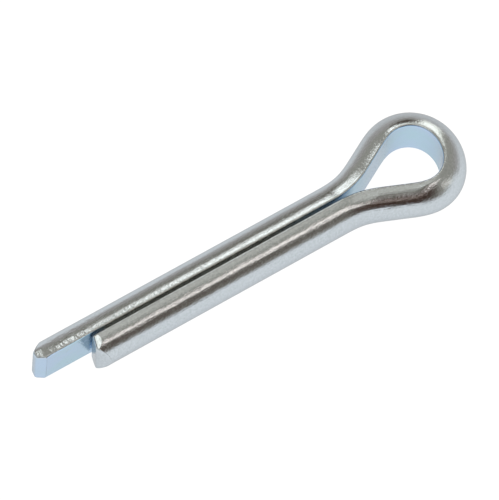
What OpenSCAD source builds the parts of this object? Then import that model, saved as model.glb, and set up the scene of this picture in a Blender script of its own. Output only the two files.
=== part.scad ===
// Split cotter pin: one length of half-round wire, folded back on itself so that its
// flat face lies inside, with an open eye at the fold and two straight legs.
//
// The origin is on the axis of the legs, at the shoulder where the eye begins.
// +X points to the eye and +Y to the side of the longer leg. The eye lies in the XY plane.

/* [Wire] */
// Diameter of the closed legs, which is also the width of the half-round wire
shank_d = 5.9; // [4:0.1:8]
// Radius on the wire's two long edges, between its flat face and its round face
wire_edge_r = 0.2; // [0.1:0.05:0.6]

/* [Legs] */
// Gap between the flat faces of the two legs
leg_gap = 0.4; // [0.1:0.05:0.6]
// Length of the short leg, from the shoulder to its tip
short_leg = 31.6; // [16:0.1:60]
// Distance that the long leg's tip passes the short leg's tip
overhang = 6.1; // [3:0.1:10]

/* [Leg tips] */
// Thickness of wire that the bevel on the flat face cuts away
inner_bevel = 0.8; // [0.3:0.1:1]
// Slope of that bevel, measured from a square cut
inner_bevel_slope = 45; // [15:5:60]
// Thickness of wire that is left blunt between the two bevels
tip_blunt = 0.8; // [0.5:0.1:1]
// Slope of the bevel on the round face, measured from a square cut
outer_bevel_slope = 25; // [10:5:50]

/* [Eye on the long leg's side] */
// Radius of the bend that turns the long leg outwards, at the wire's flat face
long_neck_r = 9.9; // [6:0.1:12]
// Angle of that bend
long_neck_angle = 28.5; // [20:0.5:35]
// Length of the straight flank after that bend
long_flank = 4.3; // [2:0.1:7]
// Radius of the eye's bend on this side, at the wire's flat face
long_crown_r = 3.2; // [2.5:0.1:4]
// Angle of that bend
long_crown_angle = 99.5; // [75:0.5:105]

/* [Eye at its end] */
// How much wider the flat face is where the wire is squeezed round the eye
crown_spread = 1.1; // [1.02:0.01:1.15]
// Radius of the gentler bend at the eye's end, at the wire's flat face
end_crown_r = 4.1; // [3:0.1:5]
// Angle of that bend
end_crown_angle = 55; // [40:1:65]

/* [Eye on the short leg's side] */
// Radius of the bend that turns the short leg outwards, at the wire's flat face
short_neck_r = 8.6; // [5:0.2:10]
// Angle of that bend
short_neck_angle = 22.5; // [17:0.5:28]
// Radius of the eye's bend on this side, at the wire's flat face
short_crown_r = 2.7; // [2.3:0.1:3.5]

/* [Hidden] */
$fn = 96;

shank_r = shank_d / 2;
// Distance from the axis of the legs to the flat face of each
flat_y = leg_gap / 2;

// The wire's route is followed along its flat face as [x, y, heading].
// A run goes straight on, and a bend turns to the left by a positive angle.
function after_run(at, length) =
    [at.x + length * cos(at.z), at.y + length * sin(at.z), at.z];
function after_bend(at, radius, angle) =
    let (reach = sign(angle) * radius, heading = at.z + angle)
    [at.x + reach * (sin(heading) - sin(at.z)), at.y - reach * (cos(heading) - cos(at.z)), heading];

long_shoulder = [0, flat_y, 0];
long_flank_start = after_bend(long_shoulder, long_neck_r, long_neck_angle);
long_crown_start = after_run(long_flank_start, long_flank);
end_crown_start = after_bend(long_crown_start, long_crown_r, -long_crown_angle);
short_crown_start = after_bend(end_crown_start, end_crown_r, -end_crown_angle);
// What is left of the half turn round the eye, with both necks' angles added to it
short_crown_angle = 180 + long_neck_angle + short_neck_angle - long_crown_angle - end_crown_angle;
short_flank_start = after_bend(short_crown_start, short_crown_r, -short_crown_angle);
// The short leg's flank is as long as it has to be to bring its leg beside the long one
short_neck_rise = short_neck_r * (1 - cos(short_neck_angle));
short_flank = (-flat_y - short_neck_rise - short_flank_start.y) / sin(short_neck_angle);
short_neck_start = after_run(short_flank_start, short_flank);
short_shoulder = after_bend(short_neck_start, short_neck_r, short_neck_angle);

long_leg = short_leg + overhang;
// How much thinner a slim bend is on each face, and how far it reaches into its neighbours
hair = 0.01;
lap = 0.15;
// Thickness of the wire, from its flat face to the top of its round face
wire_t = shank_r - flat_y;

// Cross-section of the wire, with its flat face on the Y axis and its round face towards +X.
// Its flat face can be spread, with its thickness as it was.
module wire_section(spread = 1) {
    half_flat = spread * sqrt(pow(shank_r, 2) - pow(flat_y, 2));
    back_r = (pow(half_flat, 2) + pow(wire_t, 2)) / (2 * wire_t);
    depth = back_r - wire_t;
    edge_z = sqrt(pow(back_r - wire_edge_r, 2) - pow(depth + wire_edge_r, 2));
    // Direction from the round face's centre in which it meets the edge rounding
    edge_angle = atan2(edge_z, depth + wire_edge_r);
    on_round = [back_r * cos(edge_angle) - depth, back_r * sin(edge_angle)];
    difference() {
        translate([-depth, 0])
            circle(r = back_r);
        translate([-2 * back_r, -back_r])
            square([2 * back_r, 2 * back_r]);
        for (side = [-1, 1])
            polygon([
                [0, side * edge_z],
                [on_round.x, side * on_round.y],
                [on_round.x, side * 2 * back_r],
                [0, side * 2 * back_r]
            ]);
    }
    for (side = [-1, 1])
        translate([wire_edge_r, side * edge_z])
            circle(r = wire_edge_r);
}

// Straight wire, with its flat face on the right of its heading
module run(at, length) {
    translate([at.x, at.y, 0])
        rotate([90, 0, 90 + at.z])
            linear_extrude(height = length)
                wire_section();
}

// Straight wire whose flat face is spread to a different width at each end
module flank(at, length, start_spread, end_spread) {
    translate([at.x, at.y, 0])
        rotate([90, 0, 90 + at.z])
            hull() {
                linear_extrude(height = hair)
                    wire_section(start_spread);
                translate([0, 0, length - hair])
                    linear_extrude(height = hair)
                        wire_section(end_spread);
            }
}

// Bent wire. A left bend has its round face inside, and a right bend has its flat face inside.
// A slim bend is a hair thinner than its neighbours and reaches a little way into both.
module bend(at, radius, angle, spread = 1, slim = false) {
    left = angle > 0;
    reach = left ? radius : -radius;
    lap_angle = slim ? lap / radius * 180 / PI : 0;
    translate([at.x - reach * sin(at.z), at.y + reach * cos(at.z), 0])
        rotate_extrude(
            start = (left ? at.z - 90 : at.z + angle + 90) - lap_angle,
            angle = abs(angle) + 2 * lap_angle
        )
            translate([radius, 0])
                mirror([left ? 1 : 0, 0])
                    translate([slim ? hair : 0, 0])
                        scale(slim ? 1 - 2 * hair / wire_t : 1)
                            wire_section(spread);
}

// The long leg, cut off at its tip by shears that leave a bevel on each face.
// The short leg is its mirror image with another length.
module leg(root_x, tip_x) {
    outer_bevel = wire_t - inner_bevel - tip_blunt;
    inner_bevel_x = tip_x + inner_bevel * tan(inner_bevel_slope);
    outer_bevel_x = tip_x + outer_bevel * tan(outer_bevel_slope);
    intersection() {
        run([tip_x, flat_y, 0], root_x - tip_x);
        translate([0, flat_y, -shank_d])
            linear_extrude(height = 2 * shank_d)
                polygon([
                    [inner_bevel_x, 0],
                    [tip_x, inner_bevel],
                    [tip_x, inner_bevel + tip_blunt],
                    [outer_bevel_x, wire_t],
                    [root_x, wire_t],
                    [root_x, 0]
                ]);
    }
}

module cotter_pin() {
    color("silver") {
        leg(long_shoulder.x, -long_leg);
        bend(long_shoulder, long_neck_r, long_neck_angle, slim = true);
        flank(long_flank_start, long_flank, 1, crown_spread);
        bend(long_crown_start, long_crown_r, -long_crown_angle, crown_spread, slim = true);
        bend(end_crown_start, end_crown_r, -end_crown_angle, crown_spread);
        bend(short_crown_start, short_crown_r, -short_crown_angle, crown_spread, slim = true);
        flank(short_flank_start, short_flank, crown_spread, 1);
        bend(short_neck_start, short_neck_r, short_neck_angle, slim = true);
        mirror([0, 1, 0])
            leg(short_shoulder.x, -short_leg);
    }
}

cotter_pin();
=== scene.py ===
from math import acos, cos, hypot, pi, radians, sin, tan

import bpy
import numpy as np
from mathutils import Matrix, Quaternion, Vector


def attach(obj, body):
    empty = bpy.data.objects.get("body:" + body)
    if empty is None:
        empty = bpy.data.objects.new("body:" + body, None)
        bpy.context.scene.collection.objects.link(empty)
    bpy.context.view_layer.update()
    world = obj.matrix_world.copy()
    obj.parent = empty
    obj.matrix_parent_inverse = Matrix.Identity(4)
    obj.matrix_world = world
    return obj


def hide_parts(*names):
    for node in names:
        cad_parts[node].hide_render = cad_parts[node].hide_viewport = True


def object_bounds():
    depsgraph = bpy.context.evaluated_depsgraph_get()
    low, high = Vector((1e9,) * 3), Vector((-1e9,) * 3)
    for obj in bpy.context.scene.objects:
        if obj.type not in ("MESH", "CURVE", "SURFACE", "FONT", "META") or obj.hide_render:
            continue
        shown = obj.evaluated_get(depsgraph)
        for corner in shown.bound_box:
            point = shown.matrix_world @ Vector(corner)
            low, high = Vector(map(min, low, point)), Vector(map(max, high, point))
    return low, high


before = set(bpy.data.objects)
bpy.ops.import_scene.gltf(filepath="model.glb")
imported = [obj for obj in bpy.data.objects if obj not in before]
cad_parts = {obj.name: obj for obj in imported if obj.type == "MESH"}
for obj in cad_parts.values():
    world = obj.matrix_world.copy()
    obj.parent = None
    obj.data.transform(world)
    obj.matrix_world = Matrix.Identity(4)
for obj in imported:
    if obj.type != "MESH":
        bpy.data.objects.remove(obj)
cad_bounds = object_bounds()

# The pin is one length of half-round, low-carbon steel wire. It is folded round a mandrel with
# its flat face inside, and its two ends are sheared off so that a bevel is left on each face.
# Its sizes are in millimetres. It lies along x, with its eye at the +x end.
MM = 0.001
shank_r = 2.95
half_gap = 0.16
long_leg = 37.7
short_leg = 31.6

# Half of the wire's outline, from the middle of its flat face round one edge to its back. Each
# point is how far it is out from the flat face, and how high above the middle plane.
edge_r = 0.2
flat_steps, edge_steps, round_steps = 14, 8, 30
edge_turn = acos((half_gap + edge_r) / (shank_r - edge_r))
edge_up = (shank_r - edge_r) * sin(edge_turn)
half_outline = [(0.0, edge_up * step / flat_steps) for step in range(flat_steps + 1)]
for step in range(1, edge_steps + 1):
    turn = edge_turn + (pi - edge_turn) * (1 - step / edge_steps)
    half_outline.append((edge_r + edge_r * cos(turn), edge_up + edge_r * sin(turn)))
for step in range(1, round_steps + 1):
    turn = edge_turn * (1 - step / round_steps)
    half_outline.append((shank_r * cos(turn) - half_gap, shank_r * sin(turn)))
outline = half_outline + [(out, -up) for out, up in half_outline[-2:0:-1]]
per_ring = len(outline)

# The route from the long tip round the eye to the short tip. Each bend has its radius at the
# flat face and its turn in degrees, and positive turns go to the left. The short leg is straight
# for a little longer than its nominal length, because its neck begins further on.
long_neck_r, long_neck_turn, long_flank = 9.9, 28.5, 4.3
long_crown_r, long_crown_turn = 3.2, -99.5
end_crown_r, end_crown_turn = 4.1, -55.0
short_crown_r, short_crown_turn, short_flank = 2.7, -76.5, 5.53061
short_neck_r, short_neck_turn = 8.6, 22.5
short_neck_start = 0.877415
stretches = [
    (long_leg, 0.0),
    (long_neck_r * radians(long_neck_turn), long_neck_turn),
    (long_flank, 0.0),
    (-long_crown_r * radians(long_crown_turn), long_crown_turn),
    (-end_crown_r * radians(end_crown_turn), end_crown_turn),
    (-short_crown_r * radians(short_crown_turn), short_crown_turn),
    (short_flank, 0.0),
    (short_neck_r * radians(short_neck_turn), short_neck_turn),
    (short_leg + short_neck_start, 0.0),
]
# Rings of points stand along the route, about this far apart
ring_gap = 0.2
route_length = sum(length for length, _ in stretches)
ring_count = int(route_length / ring_gap) + 1
along = np.linspace(0, route_length, ring_count)
ring_gap = along[1]

# Spring in the wire makes each bend begin and end softly, so its curvature is blurred
soft_start, blurred_rings = 0.55, 15
curvature = np.zeros(ring_count)
start = 0.0
for length, turn in stretches:
    ring_end = np.minimum(along + ring_gap / 2, start + length)
    ring_start = np.maximum(along - ring_gap / 2, start)
    inside = np.clip(ring_end - ring_start, 0, None)
    curvature += radians(turn) / length * inside / ring_gap
    start += length
blur = np.arange(-blurred_rings, blurred_rings + 1) * ring_gap
weights = np.exp(-0.5 * (blur / soft_start) ** 2)
curvature = np.convolve(curvature, weights / weights.sum(), mode="same")
heading = np.concatenate([[0], np.cumsum((curvature[1:] + curvature[:-1]) / 2 * ring_gap)])
heading *= -pi / heading[-1]
middle_heading = (heading[1:] + heading[:-1]) / 2
x = -long_leg + np.concatenate([[0], np.cumsum(np.cos(middle_heading))]) * ring_gap
y = half_gap + np.concatenate([[0], np.cumsum(np.sin(middle_heading))]) * ring_gap
# The small error that this leaves at the short leg is taken up evenly round the eye
eye_share = np.clip((along - long_leg) / (route_length - long_leg - short_leg), 0, 1)
x += (-short_leg - x[-1]) * eye_share
y += (-half_gap - y[-1]) * eye_share

# Rings lie closer together at the tips, where the shears have shaped the wire
close_length, close_gap = 2, 0.05
tip_rings = np.arange(0, close_length, close_gap)
middle_rings = along[(along >= close_length) & (along <= route_length - close_length)]
closer = np.concatenate([tip_rings, middle_rings, route_length - tip_rings[::-1]])
x, y, heading, curvature = (np.interp(closer, along, each) for each in (x, y, heading, curvature))
along, ring_count = closer, len(closer)

# Bending squeezes the inside of a bend and stretches its outside. So round the eye the wire
# is a little narrower at its back, and beside the flat face it stands up as a level lip.
squeeze_share, neutral_depth = 0.395, 1.24
lip_depth, lip_softness = 0.6, 0.15
squeeze = -squeeze_share * curvature / (1 - neutral_depth * curvature)
ring_out, ring_up = np.array(outline).T
depth = (ring_out + lip_depth + np.hypot(ring_out - lip_depth, lip_softness)) / 2
points = np.empty((ring_count, per_ring, 3))
points[:, :, 0] = x[:, None] - np.sin(heading)[:, None] * ring_out
points[:, :, 1] = y[:, None] + np.cos(heading)[:, None] * ring_out
points[:, :, 2] = ring_up * (1 + squeeze[:, None] * (neutral_depth - depth))

# Both tips are sheared. The blades leave a bevel on the flat face, a blunt strip and a bevel on
# the round face, and roll the rim over. The shears' guard has pressed a small flat on the upper
# corner. Growths, rises and leans are slopes.
long_tip = {
    "leg": long_leg, "side": 1,
    # The inner bevel's thickness across the wire, its growth upwards and its rise along the leg,
    # the blunt strip's thickness, the outer bevel's rise, and the lean of the whole cut
    "inner_bevel": 0.58, "inner_growth": 0.0, "inner_rise": 1.62,
    "blunt": 0.8, "outer_rise": 1.2, "lean": 0.1,
    # How far the cut reaches past the leg's nominal length
    "reach": 0.2,
    # The pressed flat's height, its level length, its rise beyond that, and its rise away from
    # the wire's flat face
    "pressed_height": 2.76, "pressed_length": 1.3, "rise_beyond": 0.35, "rise_outward": -0.152,
    # How much of the blue film is on the cut end
    "film": 1.0,
}
short_tip = {
    "leg": short_leg, "side": -1,
    "inner_bevel": 1.6, "inner_growth": -0.09, "inner_rise": 0.28,
    "blunt": 0.05, "outer_rise": 1.0, "lean": 0.1,
    "reach": 0.22,
    "pressed_height": 2.58, "pressed_length": 0.0, "rise_beyond": 0.327, "rise_outward": -0.274,
    # The short end mirrors the long leg's blue flat face, so its own blue is cut down to offset
    # that reflection: colour painted for the light, not a thinner film
    "film": 0.3,
}
soft_ridge, flat_edge_roll, rim_roll = 0.05, 0.1, 0.2
held_from = 0.9
shaped_length = 4.0


def rolled_over(distance, radius):
    """How far an edge of this radius is rolled back, at a distance inside it."""
    short_of = np.clip(radius - distance, 0, radius)
    return radius - np.sqrt(radius ** 2 - short_of ** 2)


def behind_tip(tip, out, up):
    """How far the cut lies behind the end of the leg's nominal length, at each point."""
    ridge = tip["inner_bevel"] + tip["inner_growth"] * up
    inner = (ridge - out) * tip["inner_rise"]
    outer = (out - ridge - tip["blunt"]) * tip["outer_rise"]
    bevels = soft_ridge * (np.log1p(np.exp(inner / soft_ridge))
                           + np.log1p(np.exp(outer / soft_ridge)))
    from_rim = np.clip(shank_r - np.hypot(out + half_gap, up), 0, None)
    return (bevels + tip["lean"] * up - tip["reach"]
            + rolled_over(out, flat_edge_roll) + rolled_over(from_rim, rim_roll))


def pressed_down(tip, from_end, out, up):
    """The height of each point, this far from the tip's end, once its corner is pressed flat."""
    # The round face comes down to nothing at its very back, so its height is held before that
    held_out = np.clip(out + half_gap, 0, held_from * shank_r)
    round_face = np.sqrt(shank_r ** 2 - held_out ** 2)
    beyond = np.clip(from_end - tip["pressed_length"], 0, None)
    pressed = tip["pressed_height"] + tip["rise_beyond"] * beyond + tip["rise_outward"] * out
    return up * np.where(up > 0, np.minimum(1, pressed / round_face), 1)


for tip, from_tip in ((long_tip, along), (short_tip, route_length - along)):
    near = from_tip < shaped_length
    pushed = 1 - from_tip[near] / shaped_length
    points[near, :, 0] += pushed[:, None] * behind_tip(tip, ring_out, ring_up)
    from_end = points[near, :, 0] + tip["leg"] + tip["reach"]
    points[near, :, 2] = pressed_down(tip, from_end, ring_out, ring_up)

vertices = [tuple(point) for ring in points for point in ring]
faces = []
for ring in range(ring_count - 1):
    for step in range(per_ring):
        beside = (step + 1) % per_ring
        faces.append((ring * per_ring + step, ring * per_ring + beside,
                      (ring + 1) * per_ring + beside, (ring + 1) * per_ring + step))

# End faces: rows of points across the wire, from its flat face to its back. The blue film on
# them thins out away from the flat face, and is worn along the rim.
film_depth, rim_worn, rim_width = 1.6, 1.4, 0.4
across = [sin(pi / 2 * step / flat_steps) for step in range(-flat_steps, flat_steps + 1)]
end_places, end_film = [], []
for tip, ring in ((long_tip, 0), (short_tip, ring_count - 1)):
    first = ring * per_ring
    rows = [[first + (per_ring - step) % per_ring for step in range(flat_steps, 0, -1)]
            + [first + step for step in range(flat_steps + 1)]]
    for rank in range(flat_steps + 1, len(half_outline) - 1):
        row_out, row_up = half_outline[rank]
        row = [first + per_ring - rank]
        for share in across[1:-1]:
            up = row_up * share
            behind = float(behind_tip(tip, row_out, up))
            pressed = float(pressed_down(tip, behind + tip["reach"], row_out, up))
            vertices.append((behind - tip["leg"], tip["side"] * (half_gap + row_out), pressed))
            end_places.append((tip["side"] * behind, row_out, up))
            from_rim = shank_r - hypot(row_out + half_gap, up)
            worn = max(row_out, rim_worn - from_rim / rim_width)
            end_film.append(tip["film"] * min(1, max(0, film_depth - worn)))
            row.append(len(vertices) - 1)
        row.append(first + rank)
        rows.append(row)
    back = first + len(half_outline) - 1
    end_faces = [(row[step], row[step + 1], next_row[step + 1], next_row[step])
                 for row, next_row in zip(rows, rows[1:]) for step in range(len(row) - 1)]
    end_faces += [(rows[-1][step], rows[-1][step + 1], back) for step in range(len(rows[-1]) - 1)]
    faces += end_faces if tip["side"] > 0 else [face[::-1] for face in end_faces]

pin_mesh = bpy.data.meshes.new("folded_wire")
pin_mesh.from_pydata([tuple(c * MM for c in vertex) for vertex in vertices], [], faces)
# Each point keeps its place in the straight wire, for marks that were made before bending
straight_places = [(length, out, up) for length in along for out, up in outline] + end_places
drawn_wire = pin_mesh.attributes.new("drawn_wire", "FLOAT_VECTOR", "POINT")
drawn_wire.data.foreach_set("vector", np.array(straight_places, dtype=np.float32).ravel() * MM)
# The flat face and the cut ends took a bluer film than the round face did
film_limit, film_fade = 0.08, 0.05
film_shares = [min(1, max(0, (film_limit - out) / film_fade)) for _ in along for out, _ in outline]
blue_film = pin_mesh.attributes.new("blue_film", "FLOAT", "POINT")
blue_film.data.foreach_set("value", film_shares + end_film)
pin_mesh.validate()
pin_mesh.shade_smooth()
pin = bpy.data.objects.new("folded_wire", pin_mesh)
bpy.context.collection.objects.link(pin)


def linear(hex_colour):
    """An sRGB hex colour as linear RGBA."""
    values = [int(hex_colour[at:at + 2], 16) / 255 for at in (1, 3, 5)]
    return [v / 12.92 if v <= 0.04045 else ((v + 0.055) / 1.055) ** 2.4 for v in values] + [1.0]


def add_node(tree, kind, inputs=None, **settings):
    """Adds a node with its settings. Each input is a value, or another node's socket to link."""
    made = tree.nodes.new(kind)
    for name, value in settings.items():
        setattr(made, name, value)
    for name, value in (inputs or {}).items():
        if isinstance(value, bpy.types.NodeSocket):
            tree.links.new(value, made.inputs[name])
        else:
            made.inputs[name].default_value = value
    return made


# Zinc plate, about 8 micrometres thick, with a clear blue passivation, on drawn steel wire.
# It gives the eye a bright, slightly grainy metal with long, faint die lines. The film is bluer
# on the sheltered flat face and the cut ends. Inside the closed gap a neutral grey is painted for
# the shade there.
zinc = bpy.data.materials.new("blue_passivated_zinc_plate")
zinc.use_nodes = True
zinc_tree = zinc.node_tree
zinc_tree.nodes.clear()
drawn_place = add_node(zinc_tree, "ShaderNodeAttribute", attribute_name="drawn_wire")
place = add_node(zinc_tree, "ShaderNodeTexCoord")
along_pin = add_node(zinc_tree, "ShaderNodeSeparateXYZ", {"Vector": place.outputs["Object"]})
# Real zinc crystals are too fine to show, so the grain is drawn as coarse as 0.22 mm. The
# tumbled wire's ripples are about 1.3 mm long.
grain = add_node(zinc_tree, "ShaderNodeTexNoise", {
    "Vector": place.outputs["Object"], "Scale": 1 / (0.22 * MM), "Detail": 3.0, "Roughness": 0.65})
ripple = add_node(zinc_tree, "ShaderNodeTexNoise", {
    "Vector": place.outputs["Object"], "Scale": 1 / (1.3 * MM), "Detail": 1.0})
# Die lines are about 0.2 mm apart and 5 mm long
stretched = add_node(zinc_tree, "ShaderNodeMapping", {
    "Vector": drawn_place.outputs["Vector"],
    "Scale": (1 / (5.0 * MM), 1 / (0.2 * MM), 1 / (0.2 * MM))})
lines = add_node(zinc_tree, "ShaderNodeTexNoise", {
    "Vector": stretched.outputs["Vector"], "Scale": 1.0, "Detail": 2.0})
# The film's blue drifts a little over about 5 mm, and the bare zinc's grey over one grain
tint = add_node(zinc_tree, "ShaderNodeTexNoise", {
    "Vector": place.outputs["Object"], "Scale": 1 / (5.0 * MM), "Detail": 2.0})
film_colour = add_node(zinc_tree, "ShaderNodeValToRGB", {"Fac": tint.outputs["Fac"]})
bare_colour = add_node(zinc_tree, "ShaderNodeValToRGB", {"Fac": grain.outputs["Fac"]})
for ramp, stops in ((film_colour, ((0.38, "#B4D0DF"), (0.62, "#B8CEE6"))),
                    (bare_colour, ((0.35, "#B9C2C8"), (0.65, "#C5CDD4")))):
    for element, (position, hex_colour) in zip(ramp.color_ramp.elements, stops):
        element.position = position
        element.color = linear(hex_colour)
# In the gap between the closed legs, the flat face's blue gives way to a neutral grey. It is
# painted for the shade in the gap, where the legs' faces mirror each other. The gap runs from the
# short tip to the eye, where the legs part slowly. These places and the clamp's below are along x.
gap_tip_start, gap_tip_end, gap_eye_start, gap_eye_end = -31.0, -29.0, -8.0, 2.5
past_tip = add_node(zinc_tree, "ShaderNodeMapRange", {
    "Value": along_pin.outputs["X"],
    "From Min": gap_tip_start * MM, "From Max": gap_tip_end * MM})
before_eye = add_node(zinc_tree, "ShaderNodeMapRange", {
    "Value": along_pin.outputs["X"],
    "From Min": gap_eye_start * MM, "From Max": gap_eye_end * MM, "To Min": 1.0, "To Max": 0.0})
painted_gap_shade = add_node(zinc_tree, "ShaderNodeMath", {
    0: past_tip.outputs["Result"], 1: before_eye.outputs["Result"]}, operation="MULTIPLY")
# A Mix node takes its two colours at these inputs, and gives the mixed one at this output
first_colour, second_colour, mixed_colour = 6, 7, 2
# The flat face's colour, with the grey painted for the shaded gap between the legs
flat_colour = add_node(zinc_tree, "ShaderNodeMix", {
    "Factor": painted_gap_shade.outputs[0], first_colour: film_colour.outputs["Color"],
    second_colour: linear("#D0D2CC")}, data_type="RGBA")
film = add_node(zinc_tree, "ShaderNodeAttribute", attribute_name="blue_film")
colour = add_node(zinc_tree, "ShaderNodeMix", {
    "Factor": film.outputs["Fac"], first_colour: bare_colour.outputs["Color"],
    second_colour: flat_colour.outputs[mixed_colour]}, data_type="RGBA")
# The shears' clamp has roughened the last 10 mm of the long leg, apart from its very end
marks_begin, marks_full, marks_worst, marks_gone = -36.4, -35.2, -36.0, -27.0
marks_strength, marks_width = 2.8, 0.5
clamped = add_node(zinc_tree, "ShaderNodeMapRange", {
    "Value": along_pin.outputs["X"],
    "From Min": marks_worst * MM, "From Max": marks_gone * MM,
    "To Min": marks_strength, "To Max": 0.0})
past_end = add_node(zinc_tree, "ShaderNodeMapRange", {
    "Value": along_pin.outputs["X"], "From Min": marks_begin * MM, "From Max": marks_full * MM})
clamp_share = add_node(zinc_tree, "ShaderNodeMath", {
    0: clamped.outputs["Result"], 1: past_end.outputs["Result"]}, operation="MULTIPLY")
marks = add_node(zinc_tree, "ShaderNodeTexNoise", {
    "Vector": place.outputs["Object"], "Scale": 1 / (marks_width * MM), "Detail": 2.0})
# The relief is the grain, with a share of the die lines, the ripple and the clamp's marks
line_share, ripple_share = 0.4, 0.9
lined = add_node(zinc_tree, "ShaderNodeMath", {
    0: lines.outputs["Fac"], 1: line_share, 2: grain.outputs["Fac"]}, operation="MULTIPLY_ADD")
rippled = add_node(zinc_tree, "ShaderNodeMath", {
    0: ripple.outputs["Fac"], 1: ripple_share, 2: lined.outputs[0]}, operation="MULTIPLY_ADD")
relief = add_node(zinc_tree, "ShaderNodeMath", {
    0: marks.outputs["Fac"], 1: clamp_share.outputs[0], 2: rippled.outputs[0]},
    operation="MULTIPLY_ADD")
bump = add_node(zinc_tree, "ShaderNodeBump", {
    "Height": relief.outputs[0], "Strength": 0.6, "Distance": 0.036 * MM})
plate = add_node(zinc_tree, "ShaderNodeBsdfPrincipled", {
    "Base Color": colour.outputs[mixed_colour], "Metallic": 1.0, "Roughness": 0.14,
    "Specular Tint": linear("#D6D7D8"), "Normal": bump.outputs["Normal"]})
add_node(zinc_tree, "ShaderNodeOutputMaterial", {"Surface": plate.outputs["BSDF"]})
pin_mesh.materials.append(zinc)
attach(pin, "root")
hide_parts("cotter_pin")

# The camera stands on the short leg's side, near the tips, and looks steeply down. Its turn,
# rise and roll are in radians, and its lens is in pixels of the image's longer side.
camera_turn, camera_rise, camera_roll = -0.55014, 1.18328, 0.01346
camera_away = 327.8 * MM
lens_px, longer_side_px, sensor_mm = 2965, 500, 36
aim = Vector((-10.805, 0.747, 0)) * MM
backward = Vector((sin(camera_turn) * cos(camera_rise), -cos(camera_turn) * cos(camera_rise),
                   sin(camera_rise)))
level_right = Vector((cos(camera_turn), sin(camera_turn), 0))
level_up = backward.cross(level_right)
rolled_right = level_right * cos(camera_roll) + level_up * sin(camera_roll)
rolled_up = level_up * cos(camera_roll) - level_right * sin(camera_roll)
camera_data = bpy.data.cameras.new("camera")
camera_data.lens = lens_px * sensor_mm / longer_side_px
camera = bpy.data.objects.new("camera", camera_data)
bpy.context.collection.objects.link(camera)
camera_facing = Matrix((rolled_right, rolled_up, backward)).transposed().to_4x4()
camera.matrix_world = Matrix.Translation(aim + backward * camera_away) @ camera_facing
bpy.context.scene.camera = camera

# The table is a round sheet of white paper, 3 m across, with its edge curved up for the metal to
# mirror. The edge lies flat on the far side, behind the pin, and is less than half as high on
# the near side. Its rings' reach and rise are in metres.
table_z = cad_bounds[0][2]
table_rings = [(0.7, 0.0), (0.9, 0.03), (1.1, 0.10), (1.3, 0.22), (1.5, 0.40)]
sides = 96
# The edge is flat within 23 degrees of this direction, and fully up beyond 44 degrees of it
flat_toward = radians(40)
flat_cosine, up_cosine = 0.92, 0.72
near_side_drop = 0.55
table_points = [(0.0, 0.0, table_z)]
for reach, rise in table_rings:
    for step in range(sides):
        turn = 2 * pi * step / sides
        flattened = (cos(turn - flat_toward) - up_cosine) / (flat_cosine - up_cosine)
        lowered = near_side_drop * max(0, -sin(turn))
        curved = 1 - min(1, max(0, flattened)) - lowered
        table_points.append((reach * cos(turn), reach * sin(turn), table_z + rise * curved))
table_faces = []
for step in range(sides):
    table_faces.append((0, 1 + step, 1 + (step + 1) % sides))
    for ring in range(len(table_rings) - 1):
        inner, outer = 1 + ring * sides, 1 + (ring + 1) * sides
        beside = (step + 1) % sides
        table_faces.append((inner + step, outer + step, outer + beside, inner + beside))
table_data = bpy.data.meshes.new("table")
table_data.from_pydata(table_points, [], table_faces)
table_data.shade_smooth()
table = bpy.data.objects.new("table", table_data)
bpy.context.collection.objects.link(table)

# Matt white paper. It is plain white where it is seen directly or mirrored in the metal. The
# light that it scatters is grey, so that the pin keeps its shadow and its colours stay true.
paper = bpy.data.materials.new("white_paper")
paper.use_nodes = True
paper_tree = paper.node_tree
paper_tree.nodes.clear()
shaded = add_node(paper_tree, "ShaderNodeBsdfDiffuse", {"Color": linear("#808080")})
ray = add_node(paper_tree, "ShaderNodeLightPath")
# The light on the table falls off on its far side, where the camera still sees it as white
far_side, dim_start, dim_end = (0.5, 0.866, 0), 8, 50
spot = add_node(paper_tree, "ShaderNodeNewGeometry")
distance = add_node(paper_tree, "ShaderNodeVectorMath", {
    0: spot.outputs["Position"], 1: far_side}, operation="DOT_PRODUCT")
far_off = add_node(paper_tree, "ShaderNodeMapRange", {
    "Value": distance.outputs["Value"], "From Min": dim_start * MM, "From Max": dim_end * MM})
dimmed = add_node(paper_tree, "ShaderNodeMath", {
    0: far_off.outputs["Result"], 1: ray.outputs["Is Camera Ray"]},
    operation="SUBTRACT", use_clamp=True)
lit = add_node(paper_tree, "ShaderNodeMix", {
    "Factor": dimmed.outputs[0], first_colour: linear("#F9F9F9"),
    second_colour: linear("#B3ABA6")}, data_type="RGBA")
glow = add_node(paper_tree, "ShaderNodeEmission", {"Color": lit.outputs[mixed_colour]})
white = add_node(paper_tree, "ShaderNodeAddShader", {
    0: shaded.outputs["BSDF"], 1: glow.outputs["Emission"]})
seen_or_mirrored = add_node(paper_tree, "ShaderNodeMath", {
    0: ray.outputs["Is Camera Ray"], 1: ray.outputs["Is Glossy Ray"]}, operation="MAXIMUM")
seen = add_node(paper_tree, "ShaderNodeMath", {
    0: seen_or_mirrored.outputs[0], 1: ray.outputs["Is Transmission Ray"]}, operation="MAXIMUM")
paper_face = add_node(paper_tree, "ShaderNodeMixShader", {
    0: seen.outputs[0], 1: shaded.outputs["BSDF"], 2: white.outputs["Shader"]})
add_node(paper_tree, "ShaderNodeOutputMaterial", {"Surface": paper_face.outputs["Shader"]})
table_data.materials.append(paper)


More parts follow.
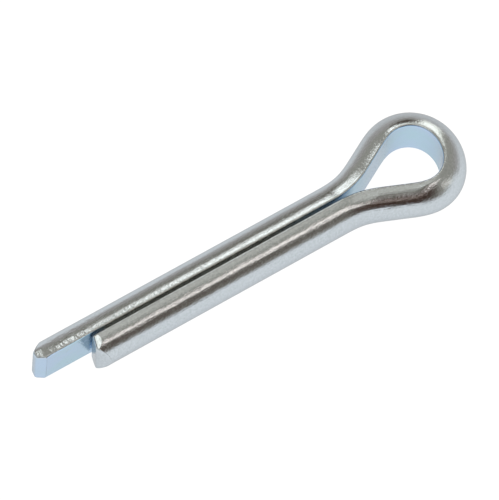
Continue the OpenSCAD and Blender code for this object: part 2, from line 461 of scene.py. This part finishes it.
def softbox(name, toward, rise, width, height, brightness, colour, tilt=0):
    """A softbox 0.8 m from the pin. Its direction, height, sizes and tilt are in degrees."""
    away = 0.8
    data = bpy.data.lights.new(name, "AREA")
    data.shape = "RECTANGLE"
    data.size = 2 * away * tan(radians(width / 2))
    data.size_y = 2 * away * tan(radians(height / 2))
    data.energy = brightness * pi * data.size * data.size_y
    data.color = linear(colour)[:3]
    made = bpy.data.objects.new(name, data)
    bpy.context.collection.objects.link(made)
    turn, lift = radians(toward), radians(rise)
    way = Vector((cos(turn) * cos(lift), sin(turn) * cos(lift), sin(lift)))
    made.location = way * away + aim
    facing = way.to_track_quat("Z", "Y") @ Quaternion((0, 0, 1), radians(tilt))
    made.rotation_euler = facing.to_euler()


# The lamps are softboxes of white cloth on stands, named for where they stand. The far one draws
# the highlight along the legs, the side one the highlight round the eye, and the tip one the
# glints on the tips. The rest lift the near flanks and the upper faces.
softbox("side_softbox", 35, 24, 22, 50, 1.5, "#FFFCF0")
softbox("far_softbox", 68.5, 50, 6, 29, 2.9, "#FFFDF6", tilt=26)
softbox("overhead_softbox", -45, 84, 27, 27, 0.32, "#FFFBF2")
softbox("near_strip", -72, 50.5, 24, 6, 2.8, "#FFF0E6")
softbox("low_near_strip", -50, 19, 24, 4, 1.7, "#FFF5EB", tilt=-41)
softbox("behind_strip", -103, 39, 14, 3, 1.3, "#FFE5D6")
softbox("near_card", -95, 4, 60, 10, 0.15, "#FBF9FF")
softbox("tip_softbox", -156, 64, 24, 24, 1.3, "#FFFDF6")

# The room is warm grey. It is darkest low down behind the camera, and in a far corner.
world = bpy.data.worlds.new("studio")
world.use_nodes = True
room_tree = world.node_tree
room_tree.nodes.clear()
behind_camera, far_corner = (-0.220, -0.819, 0.530), (0.491, 0.786, 0.375)
corner_sharpness, corner_offset = 2.0, -1.04
looking = add_node(room_tree, "ShaderNodeTexCoord")
toward_camera = add_node(room_tree, "ShaderNodeVectorMath", {
    0: looking.outputs["Generated"], 1: behind_camera}, operation="DOT_PRODUCT")
toward_corner = add_node(room_tree, "ShaderNodeVectorMath", {
    0: looking.outputs["Generated"], 1: far_corner}, operation="DOT_PRODUCT")
in_corner = add_node(room_tree, "ShaderNodeMath", {
    0: toward_corner.outputs["Value"], 1: corner_sharpness, 2: corner_offset},
    operation="MULTIPLY_ADD")
darkest = add_node(room_tree, "ShaderNodeMath", {
    0: toward_camera.outputs["Value"], 1: in_corner.outputs[0]}, operation="MAXIMUM")
wall = add_node(room_tree, "ShaderNodeValToRGB", {"Fac": darkest.outputs[0]})
wall_stops = ((0.78, "#B5AFA3"), (0.97, "#4C3931"))
for element, (position, hex_colour) in zip(wall.color_ramp.elements, wall_stops):
    element.position = position
    element.color = linear(hex_colour)
room = add_node(room_tree, "ShaderNodeBackground", {"Color": wall.outputs["Color"]})
add_node(room_tree, "ShaderNodeOutputWorld", {"Surface": room.outputs["Background"]})
bpy.context.scene.world = world
bpy.context.scene.view_settings.view_transform = "Standard"
